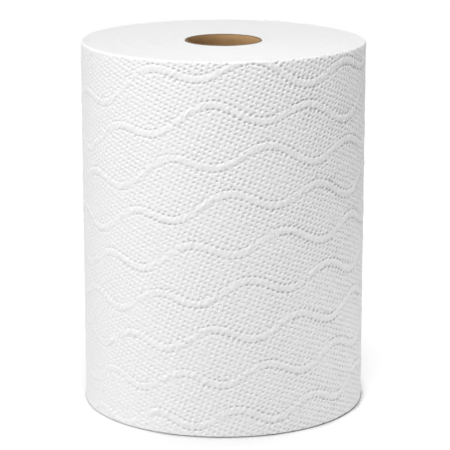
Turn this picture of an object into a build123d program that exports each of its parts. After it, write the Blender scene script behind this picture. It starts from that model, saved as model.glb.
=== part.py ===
from build123d import *
import math
import os

# A roll of embossed paper towel that stands on one cut end, wound on a cardboard tube.
# The origin is the centre of the lower end. +Z runs up the axis of the roll and -Y is its front.

# The web of paper, and the roll that it is wound into
web_width = 208.0
roll_radius = 80.0
sheet_thickness = 0.35

# The cardboard tube, as long as the web is wide because one saw cuts both
core_bore_radius = 20.5
core_wall = 1.1
glue_line = 0.1

# The tail edge, where the last turn ends, and the strip beside it that is pressed flat
tail_azimuth = 90.0
pressed_length = 8.0

# The embossed bands: long waves that climb around the roll, one above the other
band_width = 4.8
band_height = 0.6
band_spacing = 23.3
lowest_band_height = 10.7
climb = 0.109
swing = 4.0
swing_growth = 0.15
wave_length = 45.2
wave_length_growth = 1.8
wave_start = 7.3
wave_shift = 15.8
wave_shift_growth = 0.97
sway = -1.2
sway_growth = 1.14
sway_length = 191.4
sway_start = 50.6
sway_shift = -7.9

# The wall of the roll goes around in short straight runs, five millimetres long
runs_per_turn = 100

# The turns that show in each cut end: a shallow groove that spirals outward
groove_turns = 4
groove_width = 1.1
groove_depth = 0.5
groove_margin = 9.0

core_outer_radius = core_bore_radius + core_wall
winding_bore_radius = core_outer_radius + glue_line
turn_length = 2 * math.pi * roll_radius


def band_centre(number, along):
    """Height of the middle of a band, at a distance along the web from the front of the roll."""
    length = wave_length + wave_length_growth * number
    crest = wave_start + wave_shift * number + wave_shift_growth * number**2
    slow_crest = sway_start + sway_shift * number
    mean = lowest_band_height + band_spacing * number + climb * along
    wave = (swing + swing_growth * number) * math.cos(2 * math.pi * (along - crest) / length)
    slow = (sway + sway_growth * number) * math.cos(2 * math.pi * (along - slow_crest) / sway_length)
    return mean + wave + slow


def band_edge(number, along, side):
    """Height of one edge of a band, with the same width square to its run all the way."""
    step = turn_length / runs_per_turn / 2
    rise = band_centre(number, along + step) - band_centre(number, along - step)
    slope = rise / (2 * step)
    return band_centre(number, along) + side * band_width / 2 * math.hypot(1, slope)


def level_points(height_at, crown):
    """Points once around the roll, from the turn under the tail edge to the tail edge itself.

    They stand out from the sheet by the crown, which fades to nothing where the tail is pressed flat.
    """
    points = []
    for run in range(runs_per_turn + 1):
        turn = run / runs_per_turn
        along = (turn - 0.5) * turn_length
        angle = math.radians(tail_azimuth) + 2 * math.pi * turn
        to_tail = min(turn, 1 - turn) * turn_length
        fade = math.sin(math.pi / 2 * min(1, to_tail / pressed_length)) ** 2
        radius = roll_radius - sheet_thickness * (1 - turn) + crown * fade
        points.append((radius * math.cos(angle), radius * math.sin(angle), height_at(along)))
    return points


def crosses_roll(number):
    """Whether any of a band lies between the two cut ends."""
    low = min(point[2] for point in level_points(lambda along: band_edge(number, along, -1), 0))
    high = max(point[2] for point in level_points(lambda along: band_edge(number, along, 1), 0))
    return high > 0 and low < web_width


def flat_strip(low, high):
    """The sheet between two bands: a flat face for each run."""
    corners = zip(low, low[1:], high[1:], high)
    return [Face(Wire(Polyline(*four, close=True))) for four in corners]


def sloped_strip(low, high):
    """One side of a band: a ruled face for each run, from its edge up to its crown."""
    runs = zip(low, low[1:], high, high[1:])
    return [Face.make_surface_from_curves(Line(a, b), Line(c, d)) for a, b, c, d in runs]


def wound_wall():
    """The roll before its ends are cut, with each band as a crowned ribbon around it."""
    margin = web_width / 2
    below = level_points(lambda along: -margin, 0)
    faces = [Face(Wire(Polyline(*below, close=True)))]
    under_tail = [below[0]]
    tail_edge = [below[-1]]
    reach = math.ceil((web_width + margin) / band_spacing)
    for number in filter(crosses_roll, range(-reach, reach)):
        low = level_points(lambda along: band_edge(number, along, -1), 0)
        crown = level_points(lambda along: band_centre(number, along), band_height)
        high = level_points(lambda along: band_edge(number, along, 1), 0)
        faces += flat_strip(below, low) + sloped_strip(low, crown) + sloped_strip(crown, high)
        under_tail += [low[0], crown[0], high[0]]
        tail_edge += [low[-1], crown[-1], high[-1]]
        below = high
    top = level_points(lambda along: web_width + margin, 0)
    faces += flat_strip(below, top)
    faces.append(Face(Wire(Polyline(*top, close=True))))
    step = Polyline(*under_tail, top[0], top[-1], *reversed(tail_edge), close=True)
    faces.append(Face(Wire(step)))
    return Solid(Shell(faces))


def end_grooves(height, inward):
    """The turns that show in one cut end, as half turns of a groove about two centres in turn."""
    inner = winding_bore_radius + groove_margin
    pitch = (roll_radius - groove_margin - inner) / groove_turns
    grooves = []
    for half in range(2 * groove_turns):
        centre = pitch / 4 * (1 if half % 2 else -1)
        middle = centre + (inner + half * pitch / 2 + pitch / 4) * (-1 if half % 2 else 1)
        section = Polyline(
            (middle - groove_width, 0, height - inward * groove_depth),
            (middle, 0, height + inward * groove_depth),
            (middle + groove_width, 0, height - inward * groove_depth),
            close=True,
        )
        axis = Axis((centre, 0, 0), (0, 0, 1))
        grooves.append(revolve(make_face(section), axis=axis, revolution_arc=180))
    return grooves


def towel_roll():
    """The wound web with both ends cut square and the bore for the tube."""
    centred = (Align.CENTER, Align.CENTER, Align.MIN)
    between_cuts = Cylinder(2 * roll_radius, web_width, align=centred)
    bore = Cylinder(winding_bore_radius, web_width, align=centred)
    roll = wound_wall() & (between_cuts - bore)
    roll -= end_grooves(0, 1)
    roll -= end_grooves(web_width, -1)
    return roll


def core_tube():
    """The cardboard tube, plain and open at both ends."""
    centred = (Align.CENTER, Align.CENTER, Align.MIN)
    bore = Cylinder(core_bore_radius, web_width, align=centred)
    return Cylinder(core_outer_radius, web_width, align=centred) - bore


os.makedirs("parts", exist_ok=True)
export_step(towel_roll(), "parts/towel_roll.step")
export_step(core_tube(), "parts/core_tube.step")
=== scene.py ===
import math

import bpy
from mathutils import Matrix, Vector, noise as pointNoise


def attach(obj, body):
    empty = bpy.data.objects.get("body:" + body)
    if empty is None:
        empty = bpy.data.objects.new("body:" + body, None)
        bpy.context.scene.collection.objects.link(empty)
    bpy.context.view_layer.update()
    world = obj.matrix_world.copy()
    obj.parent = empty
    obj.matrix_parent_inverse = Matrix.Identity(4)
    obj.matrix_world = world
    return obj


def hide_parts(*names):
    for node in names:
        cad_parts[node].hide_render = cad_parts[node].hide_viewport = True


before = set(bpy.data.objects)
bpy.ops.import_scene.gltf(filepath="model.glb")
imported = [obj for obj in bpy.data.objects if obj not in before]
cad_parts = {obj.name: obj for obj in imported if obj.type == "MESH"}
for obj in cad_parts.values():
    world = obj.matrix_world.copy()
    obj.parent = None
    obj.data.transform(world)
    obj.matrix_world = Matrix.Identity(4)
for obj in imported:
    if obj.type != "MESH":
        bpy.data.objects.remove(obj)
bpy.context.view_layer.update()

# Paper towel roll: an embossed outer turn, two cut ends and a spiral-wound cardboard core.
# Metres. The roll stands on z = 0 around the z axis, and -y is its front.

fullTurn = 2 * math.pi


# Helpers for node trees

class Field:  # a node's output that can be added to and multiplied like a number
    def __init__(self, tree, socket):
        self.tree = tree
        self.socket = socket

    def __add__(self, other):
        return maths("ADD", self, other)

    def __radd__(self, other):
        return maths("ADD", other, self)

    def __sub__(self, other):
        return maths("SUBTRACT", self, other)

    def __rsub__(self, other):
        return maths("SUBTRACT", other, self)

    def __mul__(self, other):
        return maths("MULTIPLY", self, other)

    def __rmul__(self, other):
        return maths("MULTIPLY", other, self)

    def __truediv__(self, other):
        return maths("DIVIDE", self, other)


def plug(socket, value):
    if isinstance(value, Field):
        value.tree.links.new(value.socket, socket)
    else:
        socket.default_value = value


def addNode(tree, kind, inputs=None, **choices):
    node = tree.nodes.new(kind)
    for name, value in choices.items():
        setattr(node, name, value)
    for name, value in (inputs or {}).items():
        plug(node.inputs[name], value)
    return node


def made(tree, kind, inputs=None, output=0, **choices):
    # A new node, of which only one output is needed
    return Field(tree, addNode(tree, kind, inputs, **choices).outputs[output])


def maths(operation, *terms):
    tree = next(term.tree for term in terms if isinstance(term, Field))
    return made(tree, "ShaderNodeMath", dict(enumerate(terms)), operation=operation)


def blendRange(value, start, end, low=0.0, high=1.0, curve="SMOOTHSTEP"):
    # low up to start, high past end, and a soft ramp between
    inputs = {"Value": value, "From Min": start, "From Max": end, "To Min": low, "To Max": high}
    return made(value.tree, "ShaderNodeMapRange", inputs, "Result", interpolation_type=curve)


def combine(tree, x=0.0, y=0.0, z=0.0):
    return made(tree, "ShaderNodeCombineXYZ", {"X": x, "Y": y, "Z": z})


def split(vector):
    node = addNode(vector.tree, "ShaderNodeSeparateXYZ", {"Vector": vector})
    return [Field(vector.tree, socket) for socket in node.outputs]


def noise(vector, scale, detail=2.0, roughness=0.5):
    inputs = {"Vector": vector, "Scale": scale, "Detail": detail, "Roughness": roughness}
    return made(vector.tree, "ShaderNodeTexNoise", inputs, "Fac")


# Helpers for geometry trees

def newGeometryTree(name, settings):
    # One named input for each setting, so the tree can be tried by hand in the modifier panel
    tree = bpy.data.node_groups.new(name, "GeometryNodeTree")
    tree.is_modifier = True
    kinds = {float: "NodeSocketFloat", int: "NodeSocketInt", bool: "NodeSocketBool"}
    for setting, value in settings.items():
        socket = tree.interface.new_socket(setting, in_out="INPUT", socket_type=kinds[type(value)])
        socket.default_value = value
    tree.interface.new_socket("finish", in_out="INPUT", socket_type="NodeSocketMaterial")
    tree.interface.new_socket("mesh", in_out="OUTPUT", socket_type="NodeSocketGeometry")
    start = tree.nodes.new("NodeGroupInput")
    take = {setting: Field(tree, start.outputs[setting]) for setting in [*settings, "finish"]}
    return tree, take


def closeTree(geometry, take):
    # Every tree ends the same way: real faces, smooth, with their material
    tree = geometry.tree
    real = made(tree, "GeometryNodeRealizeInstances", {"Geometry": geometry})
    smooth = made(tree, "GeometryNodeSetShadeSmooth", {"Geometry": real})
    finished = made(tree, "GeometryNodeSetMaterial", {"Geometry": smooth, "Material": take["finish"]})
    out = tree.nodes.new("NodeGroupOutput")
    plug(out.inputs["mesh"], finished)


def runTree(tree, name, values):
    # Evaluates the tree once and keeps the result as a plain mesh
    maker = bpy.data.objects.new(name + "_maker", bpy.data.meshes.new(name + "_maker"))
    bpy.context.scene.collection.objects.link(maker)
    modifier = maker.modifiers.new(tree.name, "NODES")
    modifier.node_group = tree
    for item in tree.interface.items_tree:
        if item.in_out == "INPUT" and item.name in values:
            modifier[item.identifier] = values[item.name]
    evaluated = maker.evaluated_get(bpy.context.evaluated_depsgraph_get())
    mesh = bpy.data.meshes.new_from_object(evaluated)
    mesh.name = name
    maker.modifiers.remove(modifier)
    bpy.data.objects.remove(maker)
    piece = bpy.data.objects.new(name, mesh)
    bpy.context.scene.collection.objects.link(piece)
    print(name, len(mesh.vertices), "points,", len(mesh.polygons), "faces")
    return piece


def pointPosition(tree):
    return made(tree, "GeometryNodeInputPosition")


def setPosition(geometry, position):
    inputs = {"Geometry": geometry, "Position": position}
    return made(geometry.tree, "GeometryNodeSetPosition", inputs)


def shift(geometry, offset):
    inputs = {"Geometry": geometry, "Offset": offset}
    return made(geometry.tree, "GeometryNodeSetPosition", inputs)


def store(geometry, name, value, kind="FLOAT"):
    inputs = {"Geometry": geometry, "Name": name, "Value": value}
    return made(geometry.tree, "GeometryNodeStoreNamedAttribute", inputs, data_type=kind)


def stored(tree, name, kind="FLOAT"):
    return made(tree, "GeometryNodeInputNamedAttribute", {"Name": name}, "Attribute", data_type=kind)


def flatGrid(tree, width, height, columns, rows):
    inputs = {"Size X": width, "Size Y": height, "Vertices X": columns, "Vertices Y": rows}
    return made(tree, "GeometryNodeMeshGrid", inputs)


def straightLine(tree, count, start, step):
    inputs = {"Count": count, "Start Location": start, "Offset": step}
    return made(tree, "GeometryNodeMeshLine", inputs)


def copiesOn(points, instance, placing=None):
    # A copy on each point, as real geometry
    inputs = {"Points": points, "Instance": instance, **(placing or {})}
    copies = made(points.tree, "GeometryNodeInstanceOnPoints", inputs)
    return made(points.tree, "GeometryNodeRealizeInstances", {"Geometry": copies})


def without(geometry, selection):
    inputs = {"Geometry": geometry, "Selection": selection}
    return made(geometry.tree, "GeometryNodeDeleteGeometry", inputs)


def distanceTo(edges):
    inputs = {"Geometry": edges}
    return made(edges.tree, "GeometryNodeProximity", inputs, "Distance", target_element="EDGES")


# Helpers for materials

def newMaterial(name, settings):
    material = bpy.data.materials.new(name)
    material.use_nodes = True
    shader = material.node_tree.nodes["Principled BSDF"]
    shader.inputs["Roughness"].default_value = settings["roughness"]
    shader.inputs["Specular IOR Level"].default_value = settings["specular"]
    return material, material.node_tree, shader


def objectPlace(tree):
    return made(tree, "ShaderNodeTexCoord", output="Object")


def tint(tree, amount, first, second):
    # From the first colour to the second, by the amount
    colours = [colour if isinstance(colour, Field) else (*colour, 1) for colour in (first, second)]
    inputs = {"Factor": amount, 6: colours[0], 7: colours[1]}
    return made(tree, "ShaderNodeMix", inputs, 2, data_type="RGBA")


def bump(height, distance):
    return made(height.tree, "ShaderNodeBump", {"Height": height, "Distance": distance}, "Normal")


# Camera: a long lens, a little above the roll, as in the photograph

view = {
    "distance": 1.1949,
    "height": 0.3911,
    "pitch": 13.67,
    "lens": 171.7,
    "shift": 0.0039,
    "clipStart": 0.05,
    "clipEnd": 50.0,
}


def makeCamera():
    bpy.context.scene.view_settings.view_transform = "Standard"
    camera = bpy.data.objects.new("camera", bpy.data.cameras.new("camera"))
    camera.data.lens = view["lens"]
    camera.data.shift_x = view["shift"]
    camera.data.clip_start = view["clipStart"]
    camera.data.clip_end = view["clipEnd"]
    camera.location = (0, -view["distance"], view["height"])
    camera.rotation_euler = (math.radians(90 - view["pitch"]), 0, 0)
    bpy.context.scene.collection.objects.link(camera)
    bpy.context.scene.camera = camera


# Light: a broad soft lamp on the left, a weaker one behind on the right, a small one high in front, a
# faint one low on the right, like a card that throws light back, and the white room for the rest

light = {
    "sideStrength": 1.85,
    "sideFrom": (-1.5, -0.7, 0.3),
    "sideAngle": 80.0,
    "backStrength": 0.68,
    "backFrom": (1.2, 1.1, 0.4),
    "backAngle": 60.0,
    "highPower": 3.6,
    "highFrom": (0.02, -0.45, 0.92),
    "highAim": (0.0, 0.0, 0.12),
    "highSize": 0.2,
    "lowPower": 0.064,
    "lowFrom": (0.21, -0.11, 0.015),
    "lowAim": (0.06, -0.04, 0.0),
    "lowSize": 0.08,
    "room": 0.42,
    "backdrop": 1.0,
}


def seenDirectly(tree):
    # 1 for the camera and for what glossy or clear things show, 0 for the light that reaches the roll
    rays = tree.nodes.new("ShaderNodeLightPath")
    seen = Field(tree, rays.outputs["Is Camera Ray"])
    for name in ("Is Glossy Ray", "Is Transmission Ray"):
        seen = maths("MAXIMUM", seen, Field(tree, rays.outputs[name]))
    return seen


def addLamp(name, kind, power, aim):
    lamp = bpy.data.objects.new(name, bpy.data.lights.new(name, kind))
    lamp.data.energy = power
    lamp.location = light[name + "From"]
    lamp.rotation_euler = (Vector(aim) - lamp.location).to_track_quat("-Z", "Y").to_euler()
    bpy.context.scene.collection.objects.link(lamp)
    return lamp


def makeLight():
    for name in ("side", "back"):
        lamp = addLamp(name, "SUN", light[name + "Strength"], (0, 0, 0))
        lamp.data.angle = math.radians(light[name + "Angle"])
    for name in ("high", "low"):
        lamp = addLamp(name, "AREA", light[name + "Power"], light[name + "Aim"])
        lamp.data.size = light[name + "Size"]

    world = bpy.data.worlds.new("room")
    world.use_nodes = True
    tree = world.node_tree
    tree.nodes.clear()
    strength = light["room"] + seenDirectly(tree) * (light["backdrop"] - light["room"])
    room = made(tree, "ShaderNodeBackground", {"Color": (1, 1, 1, 1), "Strength": strength})
    out = tree.nodes.new("ShaderNodeOutputWorld")
    plug(out.inputs["Surface"], room)
    bpy.context.scene.world = world


# Floor: white where it is seen, grey to the light that it throws back, and darker close to the roll, where
# its shadow is painted

ground = {
    "size": 12.0,
    "colour": 0.55,
    "lift": 0.62,
    "roughness": 0.8,
    "specular": 0.1,
    "shadowReach": 0.08,
    "contactFrom": 0.5,
    "contactTo": 0.558,
    "contactDark": 1.0,
    "contactLit": 0.35,
    "litSide": -0.075,
    "shadedSide": 0.0,
    "boreOpenness": 0.12,
    "softShadow": 0.5,
    "softBehind": 0.3,
    "frontFrom": -0.095,
    "frontTo": -0.05,
}


def makeFloor():
    half = ground["size"] / 2
    corners = [(-half, -half, 0), (half, -half, 0), (half, half, 0), (-half, half, 0)]
    mesh = bpy.data.meshes.new("floor")
    mesh.from_pydata(corners, [], [(0, 1, 2, 3)])
    floor = bpy.data.objects.new("floor", mesh)
    bpy.context.scene.collection.objects.link(floor)

    material, tree, shader = newMaterial("paleFloor", ground)
    shader.inputs["Emission Color"].default_value = (1, 1, 1, 1)
    seen = seenDirectly(tree)
    inputs = {"Distance": ground["shadowReach"]}
    openness = made(tree, "ShaderNodeAmbientOcclusion", inputs, "AO", samples=16)
    x, y, _ = split(objectPlace(tree))

    # The painted contact shadow, a dark line where the roll touches, fainter on the lit side, and not on
    # the floor inside the core
    onShadedSide = blendRange(x, ground["litSide"], ground["shadedSide"], ground["contactLit"], 1.0)
    outside = blendRange(openness, ground["boreOpenness"], ground["boreOpenness"] * 2)
    close = 1 - blendRange(openness, ground["contactFrom"], ground["contactTo"])
    touching = close * outside * onShadedSide

    # The soft shadow around it, stronger in front
    inFront = blendRange(y, ground["frontFrom"], ground["frontTo"], 1.0, ground["softBehind"])
    near = 1 - blendRange(openness, ground["contactTo"], 1.0, 0.0, 1.0, "LINEAR")
    soft = near * inFront * ground["softShadow"]

    # What is seen is lifted to white, and the lift fades with the occlusion, which paints it dark deep
    # inside the core
    lift = blendRange(openness, 0.0, ground["contactFrom"], 0.0, ground["lift"], "LINEAR")
    # The painted shadows: less emission and a darker colour where the camera sees the floor
    plug(shader.inputs["Emission Strength"], seen * (1 - touching) * (1 - soft) * lift)
    plug(shader.inputs["Base Color"], ground["colour"] * (1 - seen * touching * ground["contactDark"]))
    mesh.materials.append(material)


makeCamera()
makeLight()
makeFloor()
print("camera, light and floor")


# The roll's own sizes, which all its pieces share

roll = {
    "webWidth": 0.208,
    "rollRadius": 0.080,
    "sheetThickness": 0.00035,
    "tailAzimuth": math.pi / 2,
    "pressedLength": 0.008,
}

turnLength = fullTurn * roll["rollRadius"]


# Materials

towelPaper = {
    "white": (0.93, 0.93, 0.93),
    # the colour of the shade painted in the pits
    "pressed": (0.86, 0.86, 0.86),
    "pitFrom": 0.15,
    "pitTo": 1.15,
    "pitDepth": 0.0006,
    "mottle": 0.03,
    "cloudScale": 170.0,
    "fibreScale": 1500.0,
    "fibreHeight": 0.00009,
    "crepeScale": 700.0,
    "crepeHeight": 0.00038,
    "crepeSwing": 0.8,
    "roughness": 0.95,
    "specular": 0.2,
}


def makeTowelPaper():
    material, tree, shader = newMaterial("towelPaper", towelPaper)
    place = objectPlace(tree)
    # The pits are darker by painted shade, and sunk by bump
    pressed = made(tree, "ShaderNodeAttribute", output="Fac", attribute_name="pressed")
    pit = blendRange(pressed, towelPaper["pitFrom"], towelPaper["pitTo"])
    clouds = noise(place, towelPaper["cloudScale"], detail=4.0, roughness=0.6)
    shade = pit + (clouds - 0.5) * towelPaper["mottle"] * 2
    plug(shader.inputs["Base Color"], tint(tree, shade, towelPaper["white"], towelPaper["pressed"]))
    fibre = noise(place, towelPaper["fibreScale"], detail=3.0, roughness=0.65)
    crepe = noise(place, towelPaper["crepeScale"], roughness=0.6)
    across = split(place)[0] / roll["rollRadius"]  # the crepe stands out more on one side of the roll
    crepeHeight = (1 + across * towelPaper["crepeSwing"]) * towelPaper["crepeHeight"]
    height = fibre * towelPaper["fibreHeight"] + crepe * crepeHeight - pit * towelPaper["pitDepth"]
    plug(shader.inputs["Normal"], bump(height, 1.0))
    return material


cutPaper = {
    "white": (0.93, 0.93, 0.93),
    "shade": (0.84, 0.84, 0.84),
    "streaksOut": 900.0,
    "streaksAround": 12.0,
    "dustScale": 2200.0,
    "dustHeight": 0.00005,
    "roughness": 0.95,
    "specular": 0.15,
}


def makeCutPaper():
    material, tree, shader = newMaterial("cutPaper", cutPaper)
    place = objectPlace(tree)
    x, y, _ = split(place)
    radius = maths("POWER", x * x + y * y, 0.5)
    around = cutPaper["streaksAround"]
    streaked = combine(tree, radius * cutPaper["streaksOut"], x * around, y * around)
    streaks = noise(streaked, 1.0, detail=3.0, roughness=0.6)
    plug(shader.inputs["Base Color"], tint(tree, streaks, cutPaper["shade"], cutPaper["white"]))
    dust = noise(place, cutPaper["dustScale"], detail=3.0, roughness=0.7)
    plug(shader.inputs["Normal"], bump(dust, cutPaper["dustHeight"]))
    return material


cardboard = {
    "dark": (0.15, 0.078, 0.028),
    "light": (0.49, 0.30, 0.14),
    "sawn": (0.20, 0.15, 0.10),
    "sawnDepth": 0.0007,
    "sawnFade": 0.0003,
    "sawnShare": 0.8,
    "ply": 0.075,
    "plyStart": 0.333,
    # painted shade along the ply: near the top of the core, darkest on the left of the bore and lightest on
    # the right
    "paintedPlyShade": 0.46,
    "seamWidth": 0.0008,
    "seamDepth": 0.00012,
    "seamShade": 0.08,
    "fibresAcross": 260.0,
    "fibresUp": 1400.0,
    "fibresSlant": 130.0,
    "fibreTone": 0.4,
    "fibreHeight": 0.3,
    "fleckScale": 420.0,
    "fleckTone": 0.35,
    "streaksAcross": 90.0,
    "streaksUp": 14.0,
    "streakTone": 0.4,
    "roughness": 0.85,
    "specular": 0.25,
}


def makeCardboard():
    material, tree, shader = newMaterial("cardboard", cardboard)
    place = objectPlace(tree)
    x, y, z = split(place)

    # The ply winds up the tube, with painted shade as a soft change of tone across it, and a seam where its
    # edges meet
    turn = maths("ARCTAN2", y, x) / fullTurn
    winding = z / cardboard["ply"] - turn + cardboard["plyStart"]
    paintedPlyShade = maths("COSINE", winding * fullTurn) * cardboard["paintedPlyShade"]
    toSeam = maths("ABSOLUTE", maths("FRACT", winding) - 0.5) * cardboard["ply"]
    seam = blendRange(toSeam, 0.0, cardboard["seamWidth"], 1.0, 0.0)

    # Fibres lie nearly along it, among flecks and long streaks
    across = cardboard["fibresAcross"]
    up = z * cardboard["fibresUp"] - turn * cardboard["fibresSlant"]
    fibres = noise(combine(tree, x * across, y * across, up), 1.0, detail=5.0, roughness=0.7)
    flecks = noise(place, cardboard["fleckScale"], detail=4.0, roughness=0.7)
    across = cardboard["streaksAcross"]
    up = z * cardboard["streaksUp"]
    streaks = noise(combine(tree, x * across, y * across, up), 1.0, detail=3.0, roughness=0.6)
    grain = fibres * cardboard["fibreTone"] + flecks * cardboard["fleckTone"]
    shade = grain + streaks * cardboard["streakTone"] + paintedPlyShade - seam * cardboard["seamShade"]
    brown = tint(tree, shade, cardboard["dark"], cardboard["light"])

    # The sawn edge is greyer
    toEnd = maths("MINIMUM", z, roll["webWidth"] - z)
    fadeEnd = cardboard["sawnDepth"] + cardboard["sawnFade"]
    sawn = blendRange(toEnd, cardboard["sawnDepth"], fadeEnd, 1.0, 0.0) * cardboard["sawnShare"]
    plug(shader.inputs["Base Color"], tint(tree, sawn, brown, cardboard["sawn"]))
    height = fibres * cardboard["fibreHeight"] - seam
    plug(shader.inputs["Normal"], bump(height, cardboard["seamDepth"]))
    return material


finishes = {"paper": makeTowelPaper(), "cut": makeCutPaper(), "cardboard": makeCardboard()}
print("materials")


# The outer turn: a flat embossed sheet, wrapped onto the last turn of the roll

outerSheet = {
    # the bands: a climb with a wave and a slow sway, which change a little from one band to the next
    "bandWidth": 0.0048,
    "bandSpacing": 0.0233,
    "lowestBandHeight": 0.0107,
    "climb": 0.109,
    "swing": 0.0040,
    "swingGrowth": 0.00015,
    "waveLength": 0.0452,
    "waveLengthGrowth": 0.0018,
    "waveStart": 0.0073,
    "waveShift": 0.0158,
    "waveShiftGrowth": 0.00097,
    "sway": -0.0012,
    "swayGrowth": 0.00114,
    "swayLength": 0.1914,
    "swayStart": 0.0506,
    "swayShift": -0.0079,
    "firstBand": -4,
    "bandCount": 17,
    "steepFrom": 0.30,
    "steepTo": 0.50,
    "ribbonHeight": 0.0001,
    "ribbonReach": 0.6,
    # the row of pits on each side of a band
    "rowPitch": 0.0031,
    "rowReach": 0.00092,
    "rowDash": 0.00055,
    "joinScale": 55.0,
    "joinFrom": 0.5,
    "joinTo": 0.62,
    "joinStretch": 0.7,
    "climbingFade": 0.5,
    # the fine pits between the bands
    "pinPitchA": 0.00288,
    "pinPitchB": 0.00275,
    "pinTurn": -0.366,
    "pinReach": 0.00098,
    "pinDash": 0.00028,
    "pinTilt": 0.35,
    "pinShare": 0.72,
    "pinClearance": 0.0034,
    "climbingClearance": 0.0008,
    # how deep the pits are, and how that changes over the sheet
    "pitDepth": 0.00092,
    "biteLow": 0.88,
    "biteHigh": 1.1,
    "depthSwing": 0.5,
    "depthClimb": 0.2,
    "swingFrom": -0.6,
    "swingTo": 0.1,
    "patchFrom": 0.35,
    "wornScale": 32.0,
    "wornTo": 0.6,
    "wornLow": 0.86,
    "wornHigh": 1.06,
    "faintScale": 45.0,
    "faintTo": 0.65,
    "faintLow": 0.86,
    "faintHigh": 1.1,
    "wander": 0.00023,
    # creases and slack
    "crumple": 0.00028,
    "creasesAcross": 520.0,
    "creasesAlong": 190.0,
    "ribbonCreases": 2.0,
    "slack": 0.00011,
    "slackScale": 38.0,
    # the rounded cut edges
    "rimRadius": 0.0010,
    "lowerRim": 0.55,
    "rimUneven": 0.0007,
    "rimScale": 55.0,
    "rimFade": 1.6,
    "rimFadeLeft": 0.25,
    # the mesh of one panel
    "panelColumns": 193,
    "rows": 400,
}

panels = 5  # so that each stays under 200,000 triangles


def bandCentre(take, number, along):
    # Height of the middle of a band, at a distance along the web from the front of the roll
    length = take["waveLength"] + take["waveLengthGrowth"] * number
    crest = take["waveStart"] + take["waveShift"] * number + take["waveShiftGrowth"] * number * number
    slowCrest = take["swayStart"] + take["swayShift"] * number
    mean = take["lowestBandHeight"] + take["bandSpacing"] * number + take["climb"] * along
    phase = maths("COSINE", (along - crest) / length * fullTurn)
    slowPhase = maths("COSINE", (along - slowCrest) / take["swayLength"] * fullTurn)
    wave = (take["swing"] + take["swingGrowth"] * number) * phase
    slow = (take["sway"] + take["swayGrowth"] * number) * slowPhase
    return mean + wave + slow


def bandLines(tree, take):
    # One polyline for each band, over the whole flat sheet and a little past it
    overhang = 0.02
    steps = 900
    reach = turnLength / 2 + overhang
    seeds = made(tree, "GeometryNodePoints", {"Count": take["bandCount"]})
    numbered = store(seeds, "number", made(tree, "GeometryNodeInputIndex") + take["firstBand"])
    line = straightLine(tree, steps + 1, (-reach, 0, 0), (2 * reach / steps, 0, 0))
    lines = copiesOn(numbered, line)

    # Mark where a band climbs steeply, from its rise over a short run
    number = stored(tree, "number")
    along = split(pointPosition(tree))[0]
    ahead = 0.002
    rise = bandCentre(take, number, along + ahead) - bandCentre(take, number, along - ahead)
    climbing = blendRange(rise / (ahead * 2), take["steepFrom"], take["steepTo"])
    sloped = store(lines, "climbing", climbing)
    return setPosition(sloped, combine(tree, along, bandCentre(take, number, along)))


def scatter(points, take, seed):
    # A little wander in the flat, because the paper stretches as it is embossed and wound
    tree = points.tree
    chance = made(tree, "FunctionNodeRandomValue", {"Seed": seed}, data_type="FLOAT_VECTOR")
    x, y, _ = split(chance)
    return shift(points, combine(tree, (x - 0.5) * take["wander"] * 2, (y - 0.5) * take["wander"] * 2))


def luck(tree, take, seed):
    # Some pits are pressed deeper than others
    inputs = {2: take["biteLow"], 3: take["biteHigh"], "Seed": seed}
    return made(tree, "FunctionNodeRandomValue", inputs, 1, data_type="FLOAT")


def rowDashes(tree, take, lines, side):
    # One row of pits beside every band: short dashes that follow its curve, faint where it climbs, and
    # joined into a crease here and there
    curve = made(tree, "GeometryNodeMeshToCurve", {"Mesh": lines})
    tangentX, tangentY, _ = split(made(tree, "GeometryNodeInputTangent"))
    out = take["bandWidth"] * (side / 2)
    beside = shift(curve, combine(tree, tangentY * out * -1, tangentX * out))
    inputs = {"Curve": beside, "Length": take["rowPitch"]}
    spaced = addNode(tree, "GeometryNodeCurveToPoints", inputs, mode="LENGTH")
    wandered = scatter(Field(tree, spaced.outputs["Points"]), take, seed=11 + side)
    patchy = noise(pointPosition(tree), take["joinScale"], detail=1.0)
    stretch = 1 + blendRange(patchy, take["joinFrom"], take["joinTo"]) * take["joinStretch"]
    fade = 1 - stored(tree, "climbing") * take["climbingFade"]
    bitten = store(wandered, "bite", luck(tree, take, seed=41 + side) * fade)
    length = take["rowDash"]
    dash = straightLine(tree, 2, combine(tree, z=length / -2), combine(tree, z=length))
    rotation = Field(tree, spaced.outputs["Rotation"])
    return copiesOn(bitten, dash, {"Rotation": rotation, "Scale": combine(tree, 1.0, 1.0, stretch)})


def pinDashes(tree, take, lines):
    # The fine pits between the bands: one turned lattice of short slanting dashes over the whole sheet
    cells = 200
    lattice = flatGrid(tree, take["pinPitchA"] * cells, take["pinPitchB"] * cells, cells + 1, cells + 1)
    x, y, _ = split(pointPosition(tree))
    cosine = maths("COSINE", take["pinTurn"])
    sine = maths("SINE", take["pinTurn"])
    height = x * sine + y * cosine + take["webWidth"] / 2
    turned = setPosition(lattice, combine(tree, x * cosine - y * sine, height))
    points = made(tree, "GeometryNodeMeshToPoints", {"Mesh": turned})
    wandered = scatter(points, take, seed=29)

    # They keep off the bands, and come nearer to them where they climb
    calm = without(lines, maths("GREATER_THAN", stored(tree, "climbing"), 0.5))
    nearCalm = maths("LESS_THAN", distanceTo(calm), take["pinClearance"])
    nearAny = maths("LESS_THAN", distanceTo(lines), take["climbingClearance"])
    cleared = without(wandered, maths("MAXIMUM", nearCalm, nearAny))
    bitten = store(cleared, "bite", luck(tree, take, seed=53))

    run = take["pinDash"] * maths("COSINE", take["pinTilt"])
    rise = take["pinDash"] * maths("SINE", take["pinTilt"])
    dash = straightLine(tree, 2, combine(tree, run / -2, rise / -2), combine(tree, run, rise))
    return copiesOn(bitten, dash)


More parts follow.
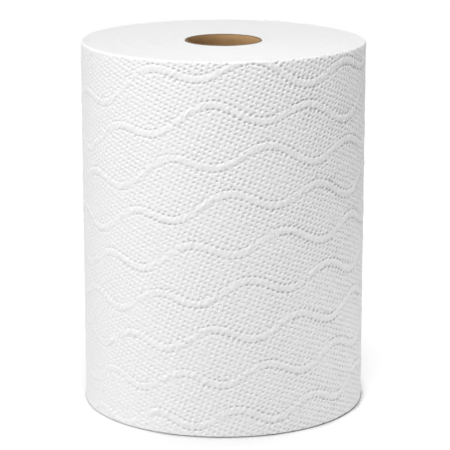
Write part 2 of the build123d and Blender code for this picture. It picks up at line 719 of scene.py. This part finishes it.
def pitShare(dashes, reach):
    # 1 in the nearest pit and 0 past its reach, each pit a little deeper or shallower than its neighbours
    tree = dashes.tree
    cone = blendRange(distanceTo(dashes), 0.0, reach, 1.0, 0.0, "LINEAR")
    nearest = made(tree, "GeometryNodeSampleNearest", {"Geometry": dashes}, domain="POINT")
    inputs = {"Geometry": dashes, "Value": stored(tree, "bite"), "Index": nearest}
    return cone * made(tree, "GeometryNodeSampleIndex", inputs, domain="POINT")


def pitPattern(tree, take, lines, place):
    # All the pits: the rows are a little worn in patches, and the fine pits between are faint in others
    along, height, _ = split(place)
    elsewhere = combine(tree, along, height, 0.7)  # another slice of the noise
    patches = noise(elsewhere, take["wornScale"])
    worn = blendRange(patches, take["patchFrom"], take["wornTo"], take["wornLow"], take["wornHigh"])
    patches = noise(place, take["faintScale"])
    faint = blendRange(patches, take["patchFrom"], take["faintTo"], take["faintLow"], take["faintHigh"])
    rows = tree.nodes.new("GeometryNodeJoinGeometry")
    for side in (-1, 1):
        plug(rows.inputs[0], rowDashes(tree, take, lines, side))
    rowPits = pitShare(Field(tree, rows.outputs[0]), take["rowReach"]) * worn
    pinPits = pitShare(pinDashes(tree, take, lines), take["pinReach"]) * take["pinShare"] * faint
    return maths("MAXIMUM", rowPits, pinPits)


def pressure(take, along, height):
    # The rollers press deeper on one side of the front than on the other, and a little more at the top
    around = along / turnLength * fullTurn
    onFront = blendRange(maths("COSINE", around), take["swingFrom"], take["swingTo"])
    swing = maths("SINE", around) * onFront * take["depthSwing"]
    return 1 + swing + (height / take["webWidth"] - 0.5) * take["depthClimb"]


def creases(tree, take, along, height):
    # Long slanting noise, above and below zero
    lean = math.radians(62)  # steeply up to the right
    across = along * math.sin(lean) - height * math.cos(lean)
    lengthwise = along * math.cos(lean) + height * math.sin(lean)
    slanted = combine(tree, across * take["creasesAcross"], lengthwise * take["creasesAlong"])
    return noise(slanted, 1.0, detail=3.0, roughness=0.6) - 0.5


def toCutEdge(take, height):
    return maths("MINIMUM", height, take["webWidth"] - height)


def flatPanel(tree, take, cell, rowHeight):
    # With a spare cell all round: it carries the shading over the joins and closes the edges
    length = take["panelLength"] + cell * 2
    width = take["webWidth"] + rowHeight * 2
    grid = flatGrid(tree, length, width, take["panelColumns"] + 3, take["rows"] + 3)
    x, y, _ = split(pointPosition(tree))
    along = x + take["panelStart"] + take["panelLength"] / 2
    return setPosition(grid, combine(tree, along, y + take["webWidth"] / 2))


def wrapOnRoll(panel, take, relief, cell, rowHeight):
    # Around the roll, with the cut edges rounded over. The spare cells past the tail and the cut edges turn
    # in, and close the sheet.
    tree = panel.tree
    along, height, _ = split(pointPosition(tree))
    alongSheet = maths("MINIMUM", along, turnLength / 2)
    pastTail = (along - alongSheet) / cell
    turn = alongSheet / turnLength + 0.5
    radius = take["rollRadius"] - take["sheetThickness"] * (1 - turn + pastTail) + relief
    angle = take["tailAzimuth"] + turn * fullTurn
    isUpper = maths("GREATER_THAN", height, take["webWidth"] / 2)
    uneven = noise(combine(tree, along), take["rimScale"], detail=3.0) - 0.5
    rimShare = take["lowerRim"] + isUpper * (1 - take["lowerRim"])
    rim = (take["rimRadius"] + uneven * take["rimUneven"]) * rimShare
    toEdge = toCutEdge(take, height)
    onSheet = maths("MAXIMUM", toEdge, 0.0)
    pastEdge = (onSheet - toEdge) / rowHeight
    bend = blendRange(onSheet, rim, 0.0, 0.0, math.pi / 2, "LINEAR")
    inward = rim * (1 - maths("COSINE", bend)) + pastEdge * take["sheetThickness"]
    rounded = maths("MAXIMUM", onSheet, rim) - rim * maths("SINE", bend)
    fromEnd = rounded + pastEdge * take["sheetThickness"] * 2
    out = radius - inward
    up = fromEnd + isUpper * (take["webWidth"] - fromEnd * 2)
    x = out * maths("COSINE", angle)
    y = out * maths("SINE", angle)
    return setPosition(panel, combine(tree, x, y, up))


def trimSpare(wrapped, take):
    # Keeps the shading of the whole sheet, and trims the spare columns, apart from the step at the tail
    tree = wrapped.tree
    kept = store(wrapped, "shading", made(tree, "GeometryNodeInputNormal"), "FLOAT_VECTOR")
    column = maths("FLOOR", made(tree, "GeometryNodeInputIndex") / (take["rows"] + 3))
    pastLast = maths("GREATER_THAN", column - take["hasTail"], take["panelColumns"] + 1)
    trimmed = without(kept, maths("LESS_THAN", column, 1) + pastLast)
    inputs = {"Mesh": trimmed, "Custom Normal": stored(tree, "shading", "FLOAT_VECTOR")}
    return made(tree, "GeometryNodeSetMeshNormal", inputs, mode="FREE", domain="POINT")


def makeSheetTree():
    given = {"panelStart": 0.0, "panelLength": 0.1, "hasTail": False}
    tree, take = newGeometryTree("embossedSheet", {**roll, **outerSheet, **given})
    lines = bandLines(tree, take)
    cell = take["panelLength"] / take["panelColumns"]
    rowHeight = take["webWidth"] / take["rows"]
    panel = flatPanel(tree, take, cell, rowHeight)

    # The pits, which the paper's material reads as well, to sink them by bump and paint shade in them
    place = pointPosition(tree)
    along, height, _ = split(place)
    pits = pitPattern(tree, take, lines, place)
    press = pressure(take, along, height)
    marked = store(panel, "pressed", pits * press)

    # The relief: crowned ribbons, pits, creases and slack, which fade at the tail edge and the cut edges
    onRibbon = blendRange(distanceTo(lines), 0.0, take["bandWidth"] * take["ribbonReach"], 1.0, 0.0)
    sunk = blendRange(pits, 0.0, 1.0) * press * take["pitDepth"]
    creased = 1 + onRibbon * take["ribbonCreases"]
    crumple = creases(tree, take, along, height) * take["crumple"] * 2 * creased
    slack = maths("ABSOLUTE", (noise(place, take["slackScale"]) - 0.5) * take["slack"] * 2)
    toTail = turnLength / 2 - maths("ABSOLUTE", along)
    tailFade = blendRange(toTail, 0.0, take["pressedLength"])
    fadeOver = take["rimRadius"] * take["rimFade"]
    edgeFade = blendRange(toCutEdge(take, height), 0.0, fadeOver, take["rimFadeLeft"], 1.0)
    relief = ((onRibbon * take["ribbonHeight"] - sunk + crumple) * edgeFade - slack) * tailFade

    wrapped = wrapOnRoll(marked, take, relief, cell, rowHeight)
    closeTree(trimSpare(wrapped, take), take)
    return tree


sheetTree = makeSheetTree()
panelLength = turnLength / panels
outerTurn = []
for number in range(panels):
    values = {**roll, **outerSheet, "panelStart": number * panelLength - turnLength / 2,
              "panelLength": panelLength, "hasTail": number == panels - 1, "finish": finishes["paper"]}
    outerTurn.append(runTree(sheetTree, f"outer_turn_{number + 1}", values))
print("outer turn")


# The cut ends: every turn of the web shows as a fine ridge

cutEnd = {
    "boreRadius": 0.0217,
    "segments": 108,
    "firstTurn": 2,
    "ridgeDepth": 0.00014,
    "rimDrop": 0.0013,
    "lowerRim": 0.45,
    "boreDrop": 0.0003,
    "stagger": 0.00026,
    "staggerTurns": 0.55,
    "staggerAround": 1.3,
    "tensionRings": 0.00035,
    "ringTurns": 0.11,
    "ringAround": 0.4,
    "sway": 0.0003,
    "swayScale": 30.0,
    "clearance": 0.0001,
    "mergeWithin": 2e-6,
}


def spiralPlace(winding, cosine, sine, perTurn, around):
    # Where noise is read that changes from one turn to the next, and slowly along each turn
    return combine(winding.tree, winding * perTurn, cosine * around, sine * around)


def makeEndTree():
    tree, take = newGeometryTree("woundEnd", {**roll, **cutEnd, "turns": 100, "upper": True})
    turns = take["turns"]
    strip = flatGrid(tree, turns, 1.0, take["segments"] * turns + 1, 3)
    x, y, _ = split(pointPosition(tree))
    turn = x + turns / 2
    across = y + 0.5
    radius = take["rollRadius"] - take["sheetThickness"] * (take["firstTurn"] + turn + across)
    angle = take["tailAzimuth"] - turn * fullTurn
    cosine = maths("COSINE", angle)
    sine = maths("SINE", angle)

    # Each turn sits a little higher or lower than the next, and the whole end is slightly uneven
    ridge = maths("ABSOLUTE", across - 0.5) * 2 * take["ridgeDepth"]
    winding = turn + across
    place = spiralPlace(winding, cosine, sine, take["staggerTurns"], take["staggerAround"])
    stagger = noise(place, 1.0, detail=3.0, roughness=0.7) * take["stagger"]
    place = spiralPlace(winding, cosine, sine, take["ringTurns"], take["ringAround"])
    rings = noise(place, 1.0) * take["tensionRings"]
    broad = noise(combine(tree, radius * cosine, radius * sine), take["swayScale"]) * take["sway"]

    # It rounds down at the rim and a little at the bore
    rimStart = take["rollRadius"] - take["rimDrop"]
    rimShare = blendRange(radius, rimStart, take["rollRadius"], 0.0, 1.0, "LINEAR")
    rimSize = take["lowerRim"] + take["upper"] * (1 - take["lowerRim"])
    rimDrop = take["rimDrop"] * (1 - maths("POWER", 1 - rimShare * rimShare, 0.5)) * rimSize
    boreStart = take["boreRadius"] + take["boreDrop"] * 2
    boreShare = blendRange(radius, boreStart, take["boreRadius"], 0.0, 1.0, "LINEAR")
    boreDrop = boreShare * boreShare * take["boreDrop"]

    fromEnd = take["clearance"] + ridge + stagger + rings + broad + rimDrop + boreDrop
    height = fromEnd + take["upper"] * (take["webWidth"] - fromEnd * 2)
    wound = setPosition(strip, combine(tree, radius * cosine, radius * sine, height))
    inputs = {"Geometry": wound, "Distance": take["mergeWithin"]}
    joined = made(tree, "GeometryNodeMergeByDistance", inputs)
    outward = made(tree, "GeometryNodeFlipFaces", {"Mesh": joined, "Selection": take["upper"]})
    closeTree(outward, take)
    return tree


woundTree = makeEndTree()
allTurns = math.floor((roll["rollRadius"] - cutEnd["boreRadius"]) / roll["sheetThickness"])
endTurns = allTurns - cutEnd["firstTurn"]
cutEnds = []
for name, upper in (("upper_cut_end", True), ("lower_cut_end", False)):
    values = {**roll, **cutEnd, "turns": endTurns, "upper": upper, "finish": finishes["cut"]}
    cutEnds.append(runTree(woundTree, name, values))
print("cut ends,", endTurns, "turns")


# The core: a spiral-wound cardboard tube with a sawn edge

core = {
    "boreRadius": 0.0205,
    "outerRadius": 0.0216,
    "segments": 160,
    "rows": 60,
    "edgeRound": 0.00025,
    "recess": 0.0003,
    "uneven": 0.00012,
    "unevenScale": 2.0,
    "unevenUp": 25.0,
    "raggedScale": 9.0,
    "raggedReach": 0.001,
}


def makeCore():
    inner, outer, edge = core["boreRadius"], core["outerRadius"], core["edgeRound"]
    low, high = core["recess"], roll["webWidth"] - core["recess"]
    rows = core["rows"]
    rises = [low + edge + (high - low - 2 * edge) * row / rows for row in range(rows + 1)]
    middle = (inner + outer) / 2
    topEdge = [(inner + edge, high), (middle, high), (outer - edge, high)]
    lowEdge = [(outer - edge, low), (middle, low), (inner + edge, low)]
    section = [(inner, z) for z in rises] + topEdge + [(outer, z) for z in reversed(rises)] + lowEdge
    points, faces = [], []
    for step in range(core["segments"]):
        angle = fullTurn * step / core["segments"]
        for radius, z in section:
            atEnd = min(z, roll["webWidth"] - z) < core["raggedReach"]  # the saw leaves it ragged
            spot = Vector((math.cos(angle), math.sin(angle), z * core["unevenUp"]))
            scale = core["raggedScale"] if atEnd else core["unevenScale"]
            bite = abs(pointNoise.noise(spot * scale)) * core["uneven"]
            z -= bite * (1 if z > roll["webWidth"] / 2 else -1)
            if radius == inner:
                radius += bite
            points.append((radius * math.cos(angle), radius * math.sin(angle), z))
    count = len(section)
    for step in range(core["segments"]):
        here, there = step * count, (step + 1) % core["segments"] * count
        for spot in range(count):
            after = (spot + 1) % count
            faces.append((here + spot, here + after, there + after, there + spot))
    mesh = bpy.data.meshes.new("cardboard_core")
    mesh.from_pydata(points, [], faces)
    mesh.polygons.foreach_set("use_smooth", [True] * len(faces))
    mesh.materials.append(finishes["cardboard"])
    mesh.validate()
    piece = bpy.data.objects.new("cardboard_core", mesh)
    bpy.context.scene.collection.objects.link(piece)
    return piece


coreTube = makeCore()
print("core")

for piece in [*outerTurn, *cutEnds]:
    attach(piece, "root")
    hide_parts("towel_roll")
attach(coreTube, "root")
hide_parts("core_tube")
